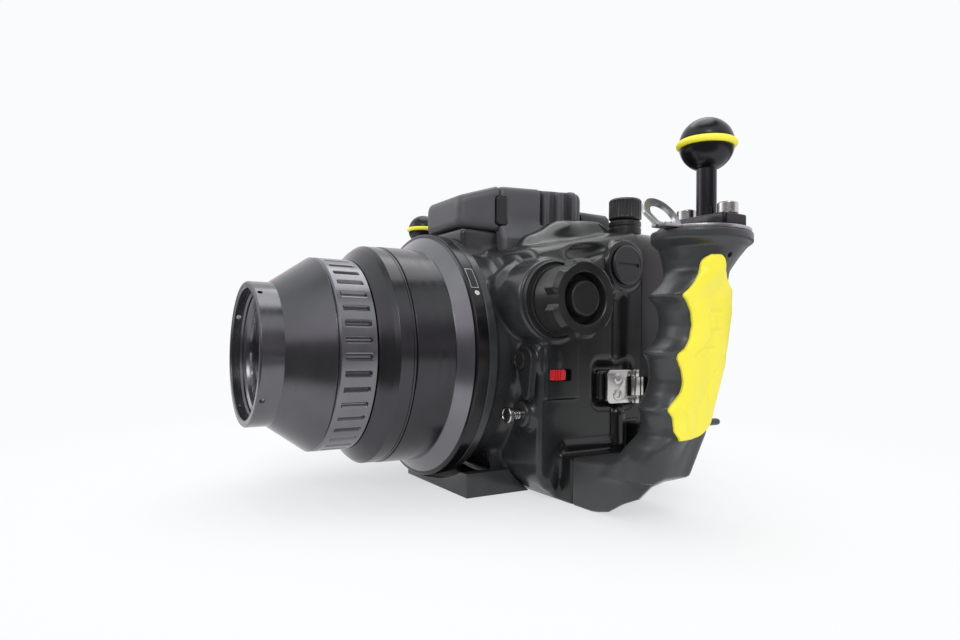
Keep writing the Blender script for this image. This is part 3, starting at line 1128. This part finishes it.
def make_floor():
    """Pale paper that keeps its shadows near the object and turns plain white far off.

    Gloss sees it end, and a dark room past it: a short way off on the camera's side, and 1 m off all round.
    """
    size = 40.0
    mesh = bpy.data.meshes.new("floor")
    corners = [(-size, -size, 0), (size, -size, 0), (size, size, 0), (-size, size, 0)]
    mesh.from_pydata(corners, [], [(0, 1, 2, 3)])
    floor = placed("floor", mesh)
    tree, shader, place = blank("floor_paper")
    paper = tint(tree, noise(tree, place, 900.0, 3.0), (0.865, 0.87, 0.88), (0.885, 0.89, 0.90))
    tree.links.new(paper, shader.inputs["Base Color"])
    shader.inputs["Roughness"].default_value = 0.8
    shader.inputs["Specular IOR Level"].default_value = 0.2
    far = vectors(tree, "LENGTH", place, output="Value")
    glow = wire(tree, "Emission", {"Color": WHITE, "Strength": 1.0}).outputs[0]
    both = wire(tree, "MixShader", {0: smoothed(tree, far, 0.08, 0.42, 0.62, 1.0), 1: shader.outputs[0],
                                    2: glow}).outputs[0]
    ahead = facing(tree, place, CAMERA_SIDE)
    toward = ranged(tree, maths(tree, "DIVIDE", ahead, far), 0.42, 0.7)
    past = maths(tree, "MULTIPLY", ranged(tree, ahead, 0.22, 0.27), toward)
    past = maths(tree, "MAXIMUM", past, ranged(tree, far, 0.9, 1.4))
    past = maths(tree, "MULTIPLY", past, wire(tree, "LightPath").outputs["Is Glossy Ray"])
    dark = wire(tree, "Emission", {"Color": (0.13, 0.13, 0.135, 1), "Strength": 1.0}).outputs[0]
    seen = wire(tree, "MixShader", {0: past, 1: both, 2: dark}).outputs[0]
    tree.links.new(seen, tree.nodes["Material Output"].inputs[0])
    mesh.materials.append(FINISH["floor_paper"])


def make_room():
    """World that the camera and the glass see as white, and the rest as pale fill.

    Gloss sees a room with a dark band low down, higher on the camera's side, a dark spot on the left, a dark
    strip near the top, and a tint that runs from lilac to green with the height.
    """
    world = bpy.data.worlds.new("studio")
    bpy.context.scene.world = world
    world.use_nodes = True
    tree = world.node_tree
    tree.nodes.clear()
    way = wire(tree, "TexCoord").outputs["Generated"]
    height = part_of(tree, way, 2)
    low = smoothed(tree, smoothed(tree, height, 0.16, 0.36), 0.0, 1.0, 0.13, 1.0)
    near = smoothed(tree, facing(tree, way, CAMERA_SIDE), 0.42, 0.78)
    part = wire(tree, "Mix", {0: near, 2: smoothed(tree, height, 0.03, 0.13, 0.16, 1.0), 3: low}).outputs[0]
    spot = smoothed(tree, facing(tree, way, (0.93, 0.18, 0.32)), 0.90, 0.975, 1.0, 0.3)
    part = maths(tree, "MULTIPLY", part, spot)
    strip = smoothed(tree, maths(tree, "SUBTRACT", height, 0.90), -0.05, 0.0, 1.0, 0.15)
    strip = wire(tree, "Mix", {0: smoothed(tree, height, 0.955, 0.985), 2: strip, 3: 1.0}).outputs[0]
    shade = tint(tree, smoothed(tree, height, 0.35, 0.8), (0.98, 0.92, 1.0), (0.93, 1.0, 0.965))
    white, room, fill = (
        wire(tree, "Background", {"Color": colour, "Strength": strength}).outputs[0] for colour, strength in (
            (WHITE, 1.0), (shade, maths(tree, "MULTIPLY", part, strip)), ((0.97, 0.98, 1.0, 1), 0.90)))
    ray = wire(tree, "LightPath").outputs
    glossy = wire(tree, "MixShader", {0: ray["Is Glossy Ray"], 1: fill, 2: room}).outputs[0]
    shown = maths(tree, "MAXIMUM", ray["Is Camera Ray"], ray["Is Transmission Ray"])
    mixed = wire(tree, "MixShader", {0: shown, 1: glossy, 2: white}).outputs[0]
    tree.links.new(mixed, tree.nodes.new("ShaderNodeOutputWorld").inputs[0])


def make_lamps():
    """Three round soft lights: above, near the camera, and far on the other side."""
    for name, spot, aim, wide, power in (
            ("softbox_above", (-0.25, 0.15, 1.35), (0, 0, 0.08), 1.1, 6.0),
            ("softbox_near", (1.0, -0.7, 0.9), (0.1, 0, 0.08), 0.5, 4.0),
            ("softbox_far", (-0.9, -1.1, 0.75), (0, -0.05, 0.08), 0.7, 2.5)):
        lamp = bpy.data.lights.new(name, "AREA")
        lamp.shape, lamp.size, lamp.energy = "DISK", wide, power
        obj = placed(name, lamp)
        obj.location = spot
        obj.rotation_euler = (Vector(aim) - Vector(spot)).to_track_quat("-Z", "Y").to_euler()


def make_camera():
    """Camera with a 24 mm lens at the photograph's viewpoint: 58.3 degrees round, 1.6 up, rolled by 0.8."""
    around, tipped, rolled = math.radians(58.3), math.radians(1.6), math.radians(-0.76)
    flat = math.cos(tipped)
    ahead = Vector((-math.sin(around) * flat, math.cos(around) * flat, math.sin(tipped)))
    level = Vector((math.cos(around), math.sin(around), 0.0))
    above = level.cross(ahead)
    right = level * math.cos(rolled) - above * math.sin(rolled)
    up = level * math.sin(rolled) + above * math.cos(rolled)
    cam = placed("camera", bpy.data.cameras.new("camera"))
    cam.data.lens, cam.data.sensor_width = 24.0, 36.0
    cam.data.clip_start = 0.01
    spin = Matrix((right, up, -ahead)).transposed().to_4x4()
    cam.matrix_world = Matrix.Translation((0.350, -0.231, 0.086)) @ spin
    bpy.context.scene.camera = cam


# The whole

for make in (make_finishes, finish_nodes, make_port, make_front_shell, make_focus_knob, make_dials,
             make_buttons, make_levers, make_latches, make_hood, make_grips, make_arm_bases, make_shell_parts,
             make_floor, make_room, make_lamps, make_camera):
    make()
bpy.context.scene.view_settings.view_transform = "Standard"
